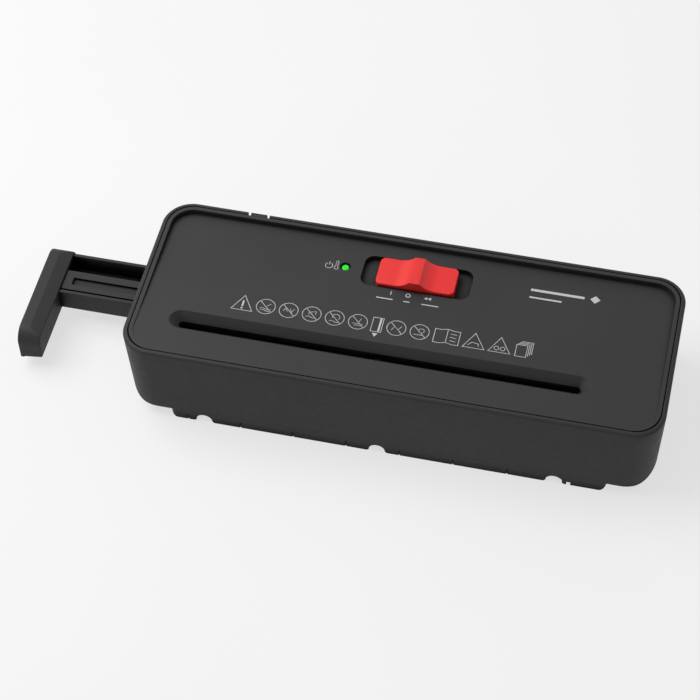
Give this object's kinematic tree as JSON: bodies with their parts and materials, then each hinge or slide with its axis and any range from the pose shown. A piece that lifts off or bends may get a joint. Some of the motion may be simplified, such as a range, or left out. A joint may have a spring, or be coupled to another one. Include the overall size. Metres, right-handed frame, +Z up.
{
  "type": "paper shredder",
  "caption": "Strip-cut paper shredder head with feed slot, slide switch, geared twin cutters and a pull-out arm that spans the rim of a waste bin.",
  "frame": {"origin": "centre of the whole object's footprint with the arm pulled out as stored, on the surface that the skirt stands on", "axes": "+X along the feed slot away from the arm, +Y towards the back (cable side), +Z up"},
  "size_m": [0.3673, 0.1112, 0.0621],
  "materials": {
    "black_plastic": "fine spark-eroded texture, satin black",
    "cover_plastic": "smooth satin black moulding",
    "inner_plastic": "plain black moulding",
    "natural_nylon": "natural white nylon, slightly glossy",
    "red_plastic": "glossy red moulding",
    "green_lens": "diffused green lens, lit",
    "cutter_steel": "ground and oiled steel",
    "plate_steel": "zinc-plated sheet steel",
    "screw_steel": "zinc-plated screws",
    "bronze": "sintered bronze",
    "gear_steel": "sintered steel, oiled",
    "magnet_ferrite": "grey ferrite",
    "copper": "enamelled copper wire",
    "carbon": "graphite",
    "board_laminate": "phenolic board",
    "component_plastic": "yellow component case",
    "relay_plastic": "blue component case",
    "terminal_plastic": "green terminal housing",
    "fuse_ceramic": "ceramic tube",
    "bush_rubber": "soft black rubber"
  },
  "bodies": {
    "root": {"lower_housing": "black_plastic", "top_cover": "cover_plastic", "paper_chute": "inner_plastic", "strip_guard": "inner_plastic", "left_side_plate": "plate_steel", "right_side_plate": "plate_steel", "tie_rods": "plate_steel", "tie_rod_nuts": "screw_steel", "cutter_bushes": "bronze", "rear_stripper": "inner_plastic", "front_stripper": "inner_plastic", "gear_pins": "cutter_steel", "gearbox_end_plate": "plate_steel", "gearbox_standoffs": "plate_steel", "gearbox_screws": "screw_steel", "motor_can": "plate_steel", "motor_end_bell": "inner_plastic", "motor_magnets": "magnet_ferrite", "motor_brushes": "carbon", "motor_screws": "screw_steel", "switch_body": "inner_plastic", "switch_terminals": "bronze", "control_board": "board_laminate", "noise_capacitor": "component_plastic", "relay": "relay_plastic", "terminal_block": "terminal_plastic", "fuse": "fuse_ceramic", "power_light": "green_lens", "board_screws": "screw_steel", "sensor_pin_rod": "cutter_steel", "sensor_switch": "inner_plastic", "arm_channel": "inner_plastic", "arm_channel_plate": "inner_plastic", "cable_bush": "bush_rubber", "cover_screws": "screw_steel", "base_screws": "screw_steel"},
    "arm": {"arm_rail": "black_plastic", "arm_centre_bar": "black_plastic", "arm_handle": "black_plastic"},
    "slider": {"switch_slider": "red_plastic"},
    "rear_cutter": {"rear_cutter_shaft": "cutter_steel", "rear_cutter_discs": "cutter_steel", "rear_disc_spacers": "plate_steel", "rear_shaft_clips": "screw_steel", "rear_sync_gear": "gear_steel", "drive_gear": "gear_steel"},
    "front_cutter": {"front_cutter_shaft": "cutter_steel", "front_cutter_discs": "cutter_steel", "front_disc_spacers": "plate_steel", "front_shaft_clip": "screw_steel", "front_sync_gear": "gear_steel"},
    "middle_gear": {"middle_gear": "natural_nylon"},
    "input_gear": {"input_gear": "natural_nylon"},
    "rotor": {"motor_shaft_rod": "cutter_steel", "motor_armature": "gear_steel", "armature_windings": "copper", "commutator": "copper", "motor_pinion": "bronze"},
    "sensor": {"sensor_lever": "inner_plastic"}
  },
  "joints": [
    {"name": "arm_slide", "type": "slide", "parent": "root", "child": "arm", "axis": [-1, 0, 0], "range_m": [-0.054, 0.02]},
    {"name": "switch_slide", "type": "slide", "parent": "root", "child": "slider", "axis": [1, 0, 0], "range_m": [-0.007, 0.007]},
    {"name": "rear_cutter_spin", "type": "hinge", "parent": "root", "child": "rear_cutter", "pos_m": [0.034, -0.0188, 0.0309], "axis": [1, 0, 0], "continuous": true},
    {"name": "front_cutter_spin", "type": "hinge", "parent": "root", "child": "front_cutter", "pos_m": [0.034, -0.0368, 0.0309], "axis": [1, 0, 0], "continuous": true},
    {"name": "middle_gear_spin", "type": "hinge", "parent": "root", "child": "middle_gear", "pos_m": [0.034, 0.0012, 0.0309], "axis": [1, 0, 0], "continuous": true},
    {"name": "input_gear_spin", "type": "hinge", "parent": "root", "child": "input_gear", "pos_m": [0.034, 0.0184, 0.0309], "axis": [1, 0, 0], "continuous": true},
    {"name": "motor_spin", "type": "hinge", "parent": "root", "child": "rotor", "pos_m": [0.034, 0.0322, 0.0309], "axis": [1, 0, 0], "continuous": true},
    {"name": "sensor_pivot", "type": "hinge", "parent": "root", "child": "sensor", "pos_m": [0.0244, -0.0195, 0.0474], "axis": [1, 0, 0], "range_deg": [0, 35], "stiffness_Nm_per_rad": 0.001, "springref_deg": -1.15}
  ],
  "couplings": [
    {"joint": "front_cutter_spin", "follows": "rear_cutter_spin", "ratio": -1},
    {"joint": "middle_gear_spin", "follows": "rear_cutter_spin", "ratio": -3},
    {"joint": "input_gear_spin", "follows": "rear_cutter_spin", "ratio": 8.7273},
    {"joint": "motor_spin", "follows": "rear_cutter_spin", "ratio": -31.418}
  ]
}
